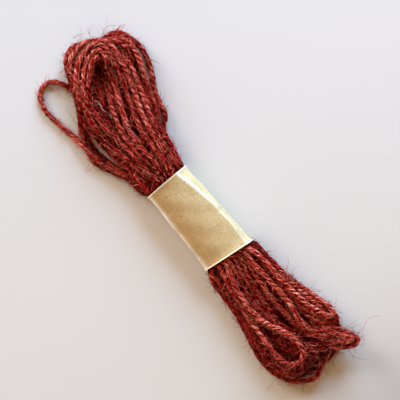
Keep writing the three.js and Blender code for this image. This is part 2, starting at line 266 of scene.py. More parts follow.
SIDE_STRANDS = [
    [
        (249, 244, 6.6), (262, 259, 7.4), (275.6, 272.6, 7.8), (289.6, 286.4, 7.8), (304.2, 296.4, 7.8),
        (317.6, 304.2, 7.6), (328.4, 311.6, 7.0), (334.4, 316.2, 6.4), (335.2, 320.6, 6.2),
        (331, 323, 6.4), (321.5, 321.6, 7.2), (310.5, 316.6, 8.0), (300, 308, 8.6),
        (289.5, 296, 9.0), (278, 281.5, 9.2), (263, 264, 9.2), (246, 246, 9.2),
    ],
    [
        (248, 245, 7.6), (263, 262, 7.6), (279, 275.5, 7.6), (294, 286.5, 7.6), (308, 296, 7.6),
        (320, 304, 7.6), (328, 310.8, 7.6), (330.8, 315.4, 7.6), (326.8, 317.6, 8.0),
        (318.5, 314.8, 8.6), (308, 308.6, 9.2), (298, 299.5, 9.7), (287, 287, 9.8),
        (272, 270.5, 9.8), (257, 256, 9.6), (243, 248.5, 9.4),
    ],
    [
        (241, 250, 9.6), (256, 266, 9.8), (270, 280.5, 9.8), (281.5, 292.5, 9.8), (290, 304, 9.6),
        (297, 316.5, 9.2), (305, 324.5, 8.2), (315, 328.5, 6.6), (325, 328.5, 4.6), (330.6, 324, 3.2),
        (330, 317.5, 3.4), (323.5, 311.8, 4.6), (314, 306.6, 5.6), (302, 299.6, 6.0), (289, 290, 6.0),
        (276, 278, 5.8), (262, 262, 5.2), (249, 246, 5.0),
    ],
]
NUB_STRANDS = [
    [
        (244, 249, 7.0), (262, 268, 6.2), (281, 289, 5.8), (299, 307, 5.6), (315, 320.5, 5.8),
        (327, 328, 6.0), (337, 330.5, 6.4), (346.4, 333, 6.8), (353.4, 336.2, 7.0),
        (356, 339.4, 7.0), (353.2, 342.4, 6.8), (345.8, 344, 6.4), (336, 344.2, 5.6),
        (322, 341, 4.0), (305, 331, 2.6), (288, 315, 3.2), (268, 291, 3.8), (246, 262, 4.6),
    ],
    [
        (246, 248, 6.4), (264, 268, 5.4), (282, 288, 4.8), (300, 308, 4.6), (316, 322, 4.8),
        (327, 332, 6.2), (337, 335.2, 7.2), (345.4, 337, 7.8), (351.2, 339.2, 8.0),
        (345.6, 341, 7.6), (336, 339.9, 6.8), (323, 336.6, 5.4), (306, 327, 4.0),
        (289, 311, 4.0), (269, 287, 4.2), (248, 260, 5.0),
    ],
    [
        (243, 254, 4.0), (260, 274, 3.0), (280, 295, 2.4), (300, 314, 2.0), (318, 327, 1.8),
        (330, 331.5, 4.0), (340, 333.4, 5.2), (348, 336, 5.8), (352.2, 339.2, 6.0),
        (348, 341.2, 5.8), (339, 341.4, 5.0), (325, 339, 3.4), (306, 331, 1.8),
        (286, 317, 2.0), (267, 294, 2.8), (246, 260, 4.0),
    ],
]
PALE_FIBRE = [
    (95.4, 101.6, 0), (98.2, 102.4, 0), (101.2, 105.8, 0), (103.2, 110.2, 0), (107, 113, 0),
    (110.4, 115.4, 0), (113.2, 120.4, 0),
]
WHISKER_LINES = [
    [
        (338, 328, 5.4), (343, 327.6, 6.0), (352, 330.2, 6.2), (359, 331.2, 5.8), (362, 328, 5.0),
        (365, 321, 4.0), (370, 316.6, 3.2), (376, 315.4, 2.4), (382, 316.4, 1.6),
    ],
    [(356, 334, 4.6), (361, 335.8, 4.8), (363.4, 339.5, 4.0), (362.8, 343, 3.0), (358, 346, 2.0)],
    [(347, 348, 2.4), (350, 352.6, 2.8), (354, 356.4, 2.6), (359, 358, 2.0), (368, 359.6, 1.4)],
    [(352, 346, 2.6), (354.6, 350.6, 2.4), (352.4, 355.6, 1.8), (354, 361, 1.2), (356.6, 366.6, 0.8)],
    [(334, 349, 3.0), (338, 352.6, 3.2), (342.6, 351.6, 3.0), (343.4, 354.4, 2.4), (339, 356.6, 1.6)],
    [(338, 351, 3.0), (334.6, 356, 2.6), (333, 361, 1.6), (335.4, 366.6, 0.8)],
    [(92.8, 42, 6.4), (91.2, 37.4, 7.0), (90.6, 34.6, 6.8), (92.2, 31, 6.2), (94.8, 26.6, 5.0)],
    [(90.6, 36, 6.8), (89, 32.6, 6.4), (90.6, 28.6, 5.4), (93, 24.4, 4.4)],
    [(74, 40, 5.4), (77.6, 37.2, 5.6), (82, 35.8, 5.2), (86, 34, 4.4)],
    [(102, 40, 5.2), (105, 30, 4.6), (110, 26.6, 4.2), (117, 26.8, 3.8), (124, 26.2, 3.0)],
    [(76.6, 125, 3.6), (74.4, 120.6, 3.2), (71.4, 116, 2.4), (68, 111.4, 1.6), (65.6, 107, 1.0)],
    [(286, 268, 5.6), (287.6, 262, 5.4), (287, 255.4, 4.4)],
    [(289, 275, 5.6), (292.6, 269.2, 5.4), (298.6, 266, 4.0)],
    [(306, 292, 6.2), (312, 288.8, 6.0), (319.6, 289.6, 4.6)],
    [(238, 322, 4.0), (234.4, 319.6, 3.6), (231.6, 315, 2.4), (233.4, 311.6, 1.4)],
    [(282, 378, 4.0), (277, 382.4, 2.8), (283, 386, 1.6), (284, 393, 0.6)],
]

# Painted shade where the turns lie in each other's shade, or painted light where they are more
# open to the light and the last number is below zero: pixels across and down, radius in
# millimetres, and how much
SHADED_PLACES = [
    (72, 59, 7.0, -0.28),
    (94, 72, 3.0, -0.70),
    (106, 70, 3.6, 0.42),
    (116, 77, 7.0, 0.34),
    (128, 83, 2.5, 0.22),
    (139, 60, 6.0, -0.50),
    (150, 76, 4.5, -0.40),
    (156, 100, 4.5, -0.45),
    (57, 104, 9.0, 0.30),
    (92, 110, 6.5, 0.36),
    (105, 141, 6.0, 0.72),
    (85, 137, 3.5, -0.70),
    (105, 169, 4.0, 0.55),
    (157, 166, 10.0, 0.62),
    (138, 187, 4.0, -0.25),
    (173, 158, 4.0, -0.45),
    (164, 181, 4.0, 0.32),
    (217, 272, 3.5, -0.50),
    (236, 260, 6.5, -0.50),
    (236, 285, 5.0, 0.42),
    (262, 297, 16.0, -0.20),
    (284, 277, 6.0, -0.40),
    (314, 303, 8.0, -0.60),
    (280, 330, 3.0, -0.30),
    (330, 339, 6.0, 0.22),
    (266, 356, 6.0, 0.40),
    (300, 352, 2.6, -0.60),
    (315, 349, 6.5, 0.60),
    (297, 373, 6.0, 0.46),
    (318, 368, 4.5, 0.45),
]

# Painted shade between the turns
SHADE_STAND = 0.95 * THREAD  # from the thread's middle to where its surface looks for other turns
SHADE_REACH = 1.1 * THREAD
BAND_SHADE = 0.9  # how far past the band's ends the thread gets painted shade
SKY_POWER = 1.5  # how strongly the share of the sky that is seen counts in the painted shade

# Fibres: how many there are, their lengths and thicknesses
LONG_FIBRES = 4000
LONG_SPREAD = (0.85, 0.55)  # mean and spread of the logarithm of their length
LONG_LIMITS = (0.8, 8.5)
LYING_FIBRES = 8500
LYING_LENGTHS = (1.0, 4.2)
LYING_THICKNESS = (0.10, 0.30)
WHISKERS = 140
WHISKER_LENGTHS = (3.0, 8.0)
WHISKER_ENDS = (-71, 63)  # whiskers grow where x is past these
PLACED_POINTS = 14  # along each whisker that the photograph places
PLACED_THICKNESS = 0.22
PALE_THICKNESS = 0.26
STANDING_ROOT = 0.35  # where fibres leave the thread, from its middle, as a share of THREAD
LYING_ROOT = 0.46
TIP_SHARE = 0.35  # thickness of a fibre's tip
ROOT_CLEAR = 1.5  # no fibre nearer to the band
ROOT_TRIES = 5  # places tried for each fibre
ROOT_AIR = 1.9  # from the thread's middle to where a fibre needs air
ROOT_ROOM = 0.95  # from there to the next thread's middle
FLOOR_ROOM = 0.15  # from a fibre to the surface below
FIBRE_LEAN = 1.5  # how far fibres lean along the thread at most, either way
FIBRE_SCATTER = 0.3  # how much their headings differ, the more the steeper they leave it
FIBRE_OPEN = 0.6  # how much less of the painted shade between the turns the steepest ones have

# Finishes
FIBRES_ROUND = 15  # lines of fibre round the thread
FIBRES_ALONG = 0.32  # changes of each line in a millimetre of thread
FIBRE_SLANT = 0.5 / PLY_PITCH  # turns of the lines in a millimetre of thread
JUTE_GLOSS = (1.0, 0.45, 0.35, 1)
PAPER_PAINTED_LIGHT = 40  # painted light: how much lighter the paper is a metre across, towards the top fold that faces the window
SPECK_BROWN = (0.16, 0.085, 0.035, 1)
CUT_CREAM = (0.93, 0.84, 0.62, 1)
CUT_EDGE = 0.45  # how wide the paper is pale along its cut edges
# the pale of the rubbing along the folds and of the painted highlight along the top fold
RUBBED_AND_HIGHLIGHT_WHITE = (0.96, 0.96, 0.90, 1)

# Sockets of Blender's Mix node when it mixes colours
MIX_FACTOR = 0
MIX_FIRST = 6
MIX_SECOND = 7
MIX_RESULT = 2

rng = np.random.default_rng(7)


def from_photo(rows):
    """Rows of pixels across, pixels down and height as points in millimetres."""
    rows = np.asarray(rows, float)
    right = rows[:, 0] - PHOTO_MIDDLE[0]
    down = rows[:, 1] - PHOTO_MIDDLE[1]
    x = PIXEL * (PHOTO_ALONG[0] * right + PHOTO_ALONG[1] * down)
    y = PIXEL * (PHOTO_ALONG[1] * right - PHOTO_ALONG[0] * down)
    return np.stack([x, y, rows[:, 2]], axis=1)


def smooth_line(points, step, roundness=0.7, fineness=40):
    """A round curve through the points, as points a step apart."""
    points = np.asarray(points, float)
    chords = np.linalg.norm(np.diff(points, axis=0), axis=1)
    knots = np.concatenate([[0], np.cumsum(np.maximum(chords, 1e-6) ** roundness)])
    slopes = np.gradient(points, knots, axis=0)
    fine = np.linspace(0, knots[-1], fineness * len(points))
    k = np.clip(np.searchsorted(knots, fine, side="right") - 1, 0, len(points) - 2)
    width = (knots[k + 1] - knots[k])[:, None]
    t = ((fine - knots[k])[:, None]) / width
    curve = (
        (2 * t**3 - 3 * t**2 + 1) * points[k]
        + (t**3 - 2 * t**2 + t) * width * slopes[k]
        + (3 * t**2 - 2 * t**3) * points[k + 1]
        + (t**3 - t**2) * width * slopes[k + 1]
    )
    return even_line(curve, step)


def even_line(curve, step):
    """The same line with its points an equal distance apart."""
    along = np.concatenate([[0], np.cumsum(np.linalg.norm(np.diff(curve, axis=0), axis=1))])
    count = max(2, round(along[-1] / step) + 1)
    even = np.linspace(0, along[-1], count)
    return np.stack([np.interp(even, along, curve[:, axis]) for axis in range(3)], axis=1)


def even_count(curve, count):
    """A few points of a fine line, spread evenly from its start to its end."""
    return curve[np.linspace(0, len(curve) - 1, count).round().astype(int)]


def lobe_points(rows, across, level):
    """One strand of a lobe: its place in each section, from -1 to 1 across and up."""
    rows = np.asarray(rows, float)
    middles = rows[:, :3]
    along = np.gradient(middles, axis=0)
    side = np.stack([-along[:, 1], along[:, 0], 0 * along[:, 0]], axis=1)
    side /= np.linalg.norm(side, axis=1)[:, None]
    points = middles + side * (across * rows[:, 3])[:, None]
    points[:, 2] += level * rows[:, 4]
    return points


def lobe_grid(columns, layers, spread=0.8):
    """Places of a lobe's strands in its section, each layer half a column on from the last."""
    places = []
    for layer in range(layers):
        level = spread * (2 * (layer + 0.5) / layers - 1)
        shift = 0.25 if layer % 2 else -0.25
        for column in range(columns):
            across = spread * (2 * (column + 0.5 + shift) / columns - 1)
            places.append((across, level))
    return places


def slow_wave(count, size=0.2, pace=(0.6, 1.6)):
    """A number for each of a lobe's sections that goes up and down at random round the lobe."""
    around = np.linspace(0, 2 * math.pi, count)
    return size * np.sin(around * rng.uniform(*pace) + rng.uniform(0, 2 * math.pi))


def lobe_strands(rows, places):
    """Strands of a lobe, each drifting a little in its section as it goes round."""
    strands = []
    for across, level in places:
        drift = slow_wave(len(rows))
        rise = slow_wave(len(rows))
        strands.append(lobe_points(rows, across + drift, level + rise))
    return strands


def turned_under(rows, lower=0.3):
    """A strand that runs out along the rows, turns down at the end and comes back beneath."""
    out = from_photo(rows)
    back = out[-2::-1].copy()
    back[:, 2] = lower * back[:, 2]
    return np.concatenate([out, back])


def back_end_strands():
    """The turns of the end with the loose loop, the ones that show first. Each lobe leaves one
    place free, so that both ends have as many turns as half the threads in the band."""
    showing = [LOOSE_LOOP, LEFT_STRAND, PARTED_STRAND] + TOP_STRANDS + EDGE_STRANDS
    under = lobe_strands(FRONT_LOBE, lobe_grid(4, 2)[1:])
    under += lobe_strands(REAR_LOBE, lobe_grid(3, 2)[1:])
    return [from_photo(rows) for rows in showing] + under


def front_end_strands():
    """The turns of the blunter end, in the same way."""
    showing = [TOP_LOOP, LOOP_PARTNER] + LEFT_EDGE_STRANDS + SIDE_STRANDS + NUB_STRANDS
    under = lobe_strands(MAIN_LOBE, lobe_grid(4, 2)[:-1])
    ends = [turned_under(rows) for rows in END_STRANDS]
    return [from_photo(rows) for rows in showing] + ends + under


def band_share(x):
    """How far along the band a place is, from 0 at its back end to 1 at its front end."""
    return np.clip(x / BAND_LENGTH + 0.5, 0, 1)


def past_band(points):
    """How far points are beyond the ends of the band, whose front end is cut askew."""
    front = BAND_LENGTH / 2 + FRONT_SKEW * points[:, 1] / (BAND_WIDTHS[1] / 2)
    return np.maximum(0, np.maximum(-points[:, 0] - BAND_LENGTH / 2, points[:, 0] - front))


def between(pair, share):
    """A value a share of the way from the first of a pair to the second."""
    return pair[0] + (pair[1] - pair[0]) * share


def band_corners(share):
    """The folds of the band's section at a share along it, round from its underside: y, z and
    how wide the paper bends there. The rows give y as a share of the half width."""
    half = between(BAND_WIDTHS, share) / 2
    ridge = np.interp(share, np.linspace(0, 1, len(RIDGE_SHARES)), RIDGE_SHARES)
    rows = [
        (-0.88, 0.0, 2.2),
        (-1.00, 2.8, 2.2),
        (-1.00, 7.4, 0.6),
        (-0.25, 9.8, 3.0),
        (ridge, BAND_HEIGHT - 0.1, 0.8),
        (0.5 + 0.5 * ridge + 0.18, 8.6, 1.8),
        (1.00, 3.2, 2.6),
        (0.86, 0.0, 2.2),
    ]
    return [(np.minimum(1.0, y) * half, z, bend) for y, z, bend in rows]


def waist_slots():
    """Places of the threads in the band: y as a share of the half width, and z."""
    room = BAND_HEIGHT - 2 * PAPER - THREAD
    slots = []
    for row, count in enumerate(WAIST_ROWS):
        z = PAPER + THREAD / 2 + room * row / (len(WAIST_ROWS) - 1)
        reach = WAIST_FILL * (count - 1) / max(WAIST_ROWS)
        for k in range(count):
            slots.append((reach * (2 * k / (count - 1) - 1), z))
    return slots


def take_slots(strands):
    """For each strand, the slots where it leaves the band and comes back to it."""
    legs = [(n, end, strand[-end]) for n, strand in enumerate(strands) for end in (0, 1)]
    legs.sort(key=lambda leg: leg[2][2])
    taken = [[None, None] for _ in strands]
    first = 0
    for count in WAIST_ROWS:
        row = sorted(legs[first : first + count], key=lambda leg: leg[2][1])
        for k, (n, end, _) in enumerate(row):
            taken[n][end] = first + k
        first += count
    return taken


def ring_of(slot, pairs):
    """The slots that one goes through, turn after turn, before it comes back to the first."""
    seen = []
    side = 0
    while True:
        seen.append(slot)
        a, b = next(pair for pair in pairs[side] if slot in pair)
        slot = b if slot == a else a
        side = 1 - side
        if side == 0 and slot == seen[0]:
            return seen


def join_rings(back, front):
    """Swaps the ends of neighbouring turns until all turns are one thread."""
    slots = sum(WAIST_ROWS)
    while True:
        whole = set(ring_of(0, (back, front)))
        if len(whole) == slots:
            return
        options = [
            (abs(front[n][1] - front[m][1]) + abs(n - m), n, m)
            for n in range(len(front))
            for m in range(len(front))
            if front[n][0] in whole and front[m][0] not in whole
        ]
        _, n, m = min(options)
        front[n][1], front[m][1] = front[m][1], front[n][1]


def thread_line():
    """The whole thread as one line through the band and round both ends, turn after turn."""
    strands = (back_end_strands(), front_end_strands())
    pairs = [take_slots(side) for side in strands]
    join_rings(*pairs)
    slots = waist_slots()
    end = BAND_LENGTH / 2
    line = []
    slot = 0
    side = 0
    for _ in range(sum(WAIST_ROWS)):
        sign = -1 if side == 0 else 1
        n = next(k for k, pair in enumerate(pairs[side]) if slot in pair)
        first = 0 if pairs[side][n][0] == slot else 1
        strand = strands[side][n] if first == 0 else strands[side][n][::-1]
        next_slot = pairs[side][n][1 - first]
        leave = [slot_point(slots[slot], sign * stop * end) for stop in WAIST_STOPS]
        enter = [slot_point(slots[next_slot], sign * stop * end) for stop in WAIST_STOPS[::-1]]
        line += leave + list(strand) + enter
        slot = next_slot
        side = 1 - side
    return wandering(smooth_line(np.array(line), POINT_STEP))


def wandering(points):
    """The same line, wandering a little to each side wherever the band doesn't hold it."""
    along = np.arange(len(points)) * POINT_STEP
    loose = np.clip((np.abs(points[:, 0]) - BAND_LENGTH / 2) / DRIFT_FREE, 0, 1)
    drift = np.stack([wavering(along, DRIFT_STEP, size) for size in DRIFT_SIZES], axis=1)
    return points + drift * loose[:, None]


def slot_point(slot, x):
    """Where a thread in a slot of the band is at x."""
    share, z = slot
    return np.array([x, share * between(BAND_WIDTHS, band_share(x)) / 2, z])


def near_pairs(first, second, reach):
    """Pairs of a point of the first line and a point of the second that are closer than reach."""
    low = np.minimum(first.min(0), second.min(0))
    cells = np.floor((first - low) / reach).astype(np.int64) + 1
    others = np.floor((second - low) / reach).astype(np.int64) + 1
    spans = np.maximum(cells.max(0), others.max(0)) + 2
    keys = (cells[:, 0] * spans[1] + cells[:, 1]) * spans[2] + cells[:, 2]
    other_keys = (others[:, 0] * spans[1] + others[:, 1]) * spans[2] + others[:, 2]
    order = np.argsort(other_keys, kind="stable")
    sorted_keys = other_keys[order]
    found = []
    for dx in (-1, 0, 1):
        for dy in (-1, 0, 1):
            for dz in (-1, 0, 1):
                wanted = keys + (dx * spans[1] + dy) * spans[2] + dz
                start = np.searchsorted(sorted_keys, wanted, side="left")
                counts = np.searchsorted(sorted_keys, wanted, side="right") - start
                i = np.repeat(np.arange(len(first)), counts)
                steps = np.arange(counts.sum()) - np.repeat(np.cumsum(counts) - counts, counts)
                found.append((i, order[np.repeat(start, counts) + steps]))
    i = np.concatenate([pair[0] for pair in found])
    j = np.concatenate([pair[1] for pair in found])
    near = np.linalg.norm(first[i] - second[j], axis=1) < reach
    return i[near], j[near]


def turn_pairs(points, reach, apart=4):
    """Pairs of near points of the thread that are more than a few steps apart along it."""
    i, j = near_pairs(points, points, reach)
    keep = j - i > apart
    return i[keep], j[keep]


def keep_in_band(points, past_end=0.5):
    """Moves the points inside the band in from each side of its paper."""
    inside = np.abs(points[:, 0]) < BAND_LENGTH / 2 + past_end
    held = points[inside]
    share = band_share(held[:, 0])
    corners = band_corners(share)
    for n, corner in enumerate(corners):
        following = corners[(n + 1) % len(corners)]
        run_y, run_z = following[0] - corner[0], following[1] - corner[1]
        length = np.hypot(run_y, run_z)
        in_y, in_z = run_z / length, -run_y / length
        depth = (held[:, 1] - corner[0]) * in_y + (held[:, 2] - corner[1]) * in_z
        short = np.maximum(0, THREAD / 2 + PAPER - depth)
        held[:, 1] += short * in_y
        held[:, 2] += short * in_z
    points[inside] = held


def settle(start):
    """Lets the turns of the thread push each other apart and sink on to the surface."""
    points = start.copy()
    for n in range(SETTLE_ROUNDS):
        if n % LOOK_ROUNDS == 0:
            i, j = turn_pairs(points, LOOK_REACH)
        apart = points[i] - points[j]
        distance = np.maximum(np.linalg.norm(apart, axis=1), 1e-6)
        push = np.maximum(0, TURN_GAP - distance)
        move = apart * (0.5 * push / distance)[:, None]
        shift = np.zeros_like(points)
        touching = np.bincount(i, push > 0, len(points)) + np.bincount(j, push > 0, len(points))
        for axis in range(3):
            shift[:, axis] += np.bincount(i, move[:, axis], len(points))
            shift[:, axis] -= np.bincount(j, move[:, axis], len(points))
        shift /= np.maximum(1, 0.5 * touching)[:, None]
        points += shift
        points[:, 2] -= SINK
        bent = points - start
        calm = bent.copy()
        calm[1:-1] = 0.25 * bent[:-2] + 0.5 * bent[1:-1] + 0.25 * bent[2:]
        points = start + calm * KEPT_SHIFT
        keep_in_band(points)
        points[:, 2] = np.maximum(points[:, 2], THREAD / 2)
    return points


def ply_section():
    """Outline of the two plies side by side, from one groove round to the other and back."""
    offset, out, flank, groove = 0.42, 0.58, 0.76, 0.48
    outline = [(0.0, -groove)]
    for angle in np.radians([-92, -55, -19, 19, 55, 92]):
        outline.append((offset + out * math.cos(angle), flank * math.sin(angle)))
    half = np.array(outline)
    return np.concatenate([half, -half]) * THREAD / 2


def thread_frames(points):
    """Two directions across the thread at each point, carried along without twist."""
    along = np.gradient(points, axis=0)
    along /= np.linalg.norm(along, axis=1)[:, None]
    side = np.zeros_like(points)
    side[0] = np.cross((0, 0, 1), along[0])
    side[0] /= np.linalg.norm(side[0])
    for n in range(1, len(points)):
        carried = side[n - 1] - along[n] * (side[n - 1] @ along[n])
        side[n] = carried / math.sqrt(carried @ carried)
    return along, side, np.cross(along, side)


def ring_line(points):
    """Finer points along the settled thread, wider apart where the band hides it."""
    along = np.arange(len(points)) * POINT_STEP
    knots = np.arange(0, along[-1], RING_STEP)
    k = np.clip((knots / POINT_STEP).astype(int), 1, len(points) - 3)
    t = (knots / POINT_STEP - k)[:, None]
    a, b, c, d = points[k - 1], points[k], points[k + 1], points[k + 2]
    bend = (2 * a - 5 * b + 4 * c - d) * t**2 + (3 * b - a - 3 * c + d) * t**3
    fine = 0.5 * (2 * b + (c - a) * t + bend)
    every = round(HIDDEN_RING_STEP / RING_STEP)
    hidden = np.abs(fine[:, 0]) < BAND_LENGTH / 2 - HIDDEN_DEPTH
    keep = ~hidden | (np.arange(len(fine)) % every == 0)
    return fine[keep], knots[keep]


def piece_cuts(rings):
    """Ring numbers in the middle of the band where the thread is cut into pieces."""
    crossings = np.flatnonzero(rings[:-1, 0] * rings[1:, 0] < 0)
    wanted = np.linspace(0, len(rings) - 1, THREAD_PIECES + 1)[1:-1]
    inner = [int(crossings[np.argmin(np.abs(crossings - ring))]) for ring in wanted]
    return [0] + inner + [len(rings) - 1]


def mesh_object(name, material, verts, face_groups, uvs=None):
    """A mesh from arrays in millimetres; each group of faces has one number of corners."""
    mesh = bpy.data.meshes.new(name)
    sizes = np.concatenate([np.full(len(group), group.shape[1]) for group in face_groups])
    loops = np.concatenate([group.ravel() for group in face_groups])
    mesh.vertices.add(len(verts))
    mesh.vertices.foreach_set("co", (np.asarray(verts) * MM).astype(np.float32).ravel())
    mesh.loops.add(len(loops))
    mesh.loops.foreach_set("vertex_index", loops.astype(np.int32))
    mesh.polygons.add(len(sizes))
    mesh.polygons.foreach_set("loop_start", (np.cumsum(sizes) - sizes).astype(np.int32))
    if uvs is not None:
        layer = mesh.uv_layers.new(name="thread")
        layer.data.foreach_set("uv", np.asarray(uvs, np.float32).ravel())
    mesh.polygons.foreach_set("use_smooth", np.ones(len(sizes), bool))
    mesh.update(calc_edges=True)
    mesh.validate()
    mesh.materials.append(material)
    piece = bpy.data.objects.new(name, mesh)
    bpy.context.scene.collection.objects.link(piece)
    return piece


def wavering(along, step, size):
    """A number that changes at random along the thread, about every step."""
    knots = np.arange(-step, along.max() + 2 * step, step)
    return np.interp(along, knots, rng.normal(0, size, len(knots)))


def tightness(points):
    """How tightly the band pulls the thread together, from 0 far off to 1 at its ends."""
    return np.exp(-((past_band(points) / PULL_REACH) ** 2))


def thread_surface(rings, along, frames):
    """Points round each ring of the thread, its plies twisted and a little uneven."""
    loose = ply_section()
    pulled = PULLED_RADIUS * loose / np.linalg.norm(loose, axis=1)[:, None]
    section = loose + PULLED_SHARE * tightness(rings)[:, None, None] * (pulled - loose)
    angle = -2 * math.pi * along / PLY_PITCH + wavering(along, *TWIST_WAVER)
    uneven = sum(wavering(along, step, size) for step, size in THICK_WAVERS)
    thick = 1 + np.clip(uneven, *THICK_LIMITS)
    cos, sin = np.cos(angle)[:, None], np.sin(angle)[:, None]
    x = thick[:, None] * (section[..., 0] * cos - section[..., 1] * sin)
    y = thick[:, None] * (section[..., 0] * sin + section[..., 1] * cos)
    _, side, up = frames
    surface = rings[:, None] + x[..., None] * side[:, None] + y[..., None] * up[:, None]
    surface[..., 2] = np.maximum(surface[..., 2], 0)
    return surface


def open_sky(points, reach=6.0, sectors=8, least_rise=0.3, least_gap=0.1):
    """Share of the sky that each point of the thread sees past the turns that lie higher."""
    i, j = near_pairs(points, points, reach)
    apart = points[j] - points[i]
    flat = np.hypot(apart[:, 0], apart[:, 1])
    higher = (apart[:, 2] > least_rise) & (flat > least_gap)
    i, apart = i[higher], apart[higher]
    sector = ((np.arctan2(apart[:, 1], apart[:, 0]) / (2 * math.pi) + 0.5) * sectors).astype(int)
    rise = apart[:, 2] / np.linalg.norm(apart, axis=1)
    highest = np.zeros((len(points), sectors))
    np.maximum.at(highest, (i, sector % sectors), rise)
    return 1 - np.mean(highest, axis=1)


def surface_shade(surface, rings, points, sky):
    """Painted shade at each point of the surface, from 0 to 1: how hidden it is by the turns
    beside it, by the floor and by the band's ends, how little of the sky it sees, and the shaded
    places.
    """
    out = surface - rings[:, None]
    out /= np.linalg.norm(out, axis=2)[..., None]
    test = (rings[:, None] + SHADE_STAND * out).reshape(-1, 3)
    i, j = near_pairs(test, points, SHADE_REACH)
    hidden = np.zeros(len(test))
    np.maximum.at(hidden, i, 1 - np.linalg.norm(test[i] - points[j], axis=1) / SHADE_REACH)
    # Painted shade near the floor and just past the band's ends
    near_floor = np.clip(0.5 - 0.5 * test[:, 2], 0, 1)
    near_band = np.exp(-((past_band(test) / BAND_SHADE) ** 2))
    hidden = np.maximum(np.maximum(hidden, near_floor), near_band)
    seen = (1 - hidden.reshape(surface.shape[:2])) * sky[:, None] ** SKY_POWER
    # Painted shade and painted light at the shaded places
    for across, down, radius, shade in SHADED_PLACES:
        place = from_photo([(across, down, 0)])[0]
        apart = np.hypot(rings[:, 0] - place[0], rings[:, 1] - place[1])
        seen *= 1 - shade * np.exp(-((apart / radius) ** 2))[:, None]
    return np.clip(1 - seen, 0, 1)


def thread_piece(name, material, surface, along, hidden, tight):
    """A length of the two-ply thread as one closed tube."""
    total, count, _ = surface.shape
    ring = np.arange(total - 1)[:, None] * count
    k = np.arange(count)[None]
    k_next = (k + 1) % count
    quads = np.stack([ring + k, ring + k_next, ring + count + k_next, ring + count + k], axis=-1)
    share = np.broadcast_to(k / count, ring.shape[:1] + (count,))
    share_next = share + 1 / count
    low = np.broadcast_to(along[:-1, None], share.shape)
    high = np.broadcast_to(along[1:, None], share.shape)
    corners = ((share, low), (share_next, low), (share_next, high), (share, high))
    uvs = np.stack([np.stack(corner, -1) for corner in corners], axis=2).reshape(-1, 2)
    first_cap = np.arange(count)[None, ::-1]
    last_cap = (total - 1) * count + np.arange(count)[None]
    cap_uvs = np.stack([np.tile(np.arange(count) / count, 2), np.repeat(along[[0, -1]], count)], -1)
    groups = [quads.reshape(-1, 4), first_cap, last_cap]
    piece = mesh_object(name, material, surface.reshape(-1, 3), groups, np.concatenate([uvs, cap_uvs]))
    # hidden: painted shade between the turns, for the material
    keep_values(piece, "hidden", hidden)
    keep_values(piece, "tight", np.repeat(tight, count))
    return piece


def keep_values(piece, name, values):
    """Keeps a number at each point of a piece, for its material."""
    kept = piece.data.attributes.new(name, "FLOAT", "POINT")
    kept.data.foreach_set("value", np.asarray(values, np.float32).ravel())


def fibre_roots(points, frames, sky, count, wanted=True, least_height=0.3, least_slope=-0.5):
    """Places on the thread's open surface where fibres stand out, which way they point, and
    how much of the sky they see."""
    along, side, up = frames
    outside = np.flatnonzero((np.abs(points[:, 0]) > BAND_LENGTH / 2 + ROOT_CLEAR) & wanted)
    ring = rng.choice(outside, ROOT_TRIES * count)
    angle = rng.uniform(0, 2 * math.pi, len(ring))[:, None]
    out = np.cos(angle) * side[ring] + np.sin(angle) * up[ring]
    test = points[ring] + out * ROOT_AIR
    covered, _ = near_pairs(test, points, ROOT_ROOM)
    open_air = np.ones(len(ring), bool)
    open_air[covered] = False
    open_air &= (test[:, 2] > least_height) & (out[:, 2] > least_slope)
    ring, out = ring[open_air][:count], out[open_air][:count]
    return points[ring], out, along[ring], sky[ring]


def fibre_piece(name, material, roots, lengths, thickness, root, rise, curl, steps):
    """Fine fibres that leave the thread, bend and taper, as one joined mesh: root and rise say
    how far from the thread's middle they start and how steeply they leave it."""
    middle, out, along, sky = roots
    count = len(middle)
    steepest = rise[1]
    point = middle + out * root * THREAD
    lean = rng.uniform(-FIBRE_LEAN, FIBRE_LEAN, (count, 1))
    heading = out * rng.uniform(*rise, (count, 1)) + along * lean
    heading += rng.normal(0, FIBRE_SCATTER * steepest, (count, 3))
    heading /= np.linalg.norm(heading, axis=1)[:, None]
    bend = rng.normal(0, curl, (count, 3)) / steps
    line = [point]
    for _ in range(steps):
        heading = heading + bend
        heading /= np.linalg.norm(heading, axis=1)[:, None]
        point = point + heading * (lengths / steps)[:, None]
        point[:, 2] = np.maximum(point[:, 2], FLOOR_ROOM)
        line.append(point)
    # Painted shade of the fibres, less for those that stand out steeply
    hidden = (1 - sky) * (1 - FIBRE_OPEN * steepest)
    return tube_bundle(name, material, np.stack(line, axis=1), thickness, hidden)


def tube_bundle(name, material, lines, thickness, hidden):
    """Thin three-sided tubes along lines with equal numbers of points, thinner to the tip."""
    count, stops, _ = lines.shape
    heading = np.gradient(lines, axis=1)
    heading /= np.maximum(np.linalg.norm(heading, axis=2), 1e-9)[..., None]
    aside = np.cross(heading, rng.normal(0, 1, (count, 1, 3)))
    aside /= np.maximum(np.linalg.norm(aside, axis=2), 1e-9)[..., None]
    across = np.cross(heading, aside)
    radius = np.reshape(thickness, (-1, 1, 1)) / 2 * np.linspace(1, TIP_SHARE, stops)[None, :, None]
    turns = [2 * math.pi * k / 3 for k in range(3)]
    corners = [lines + radius * (math.cos(t) * aside + math.sin(t) * across) for t in turns]
    verts = np.stack(corners, axis=2).reshape(-1, 3)
    base = (np.arange(count)[:, None] * stops + np.arange(stops - 1)[None]).reshape(-1, 1) * 3
    k = np.arange(3)[None]
    k_next = (k + 1) % 3
    quads = np.stack([base + k, base + k_next, base + 3 + k_next, base + 3 + k], axis=-1)
    first = np.arange(count)[:, None] * stops * 3
    roots = first + np.array([[2, 1, 0]])
    tips = first + (stops - 1) * 3 + np.array([[0, 1, 2]])
    piece = mesh_object(name, material, verts, [quads.reshape(-1, 4), roots, tips])
    # Painted shade of the fibres, for their material
    keep_values(piece, "hidden", np.repeat(hidden, stops * 3))
    return piece


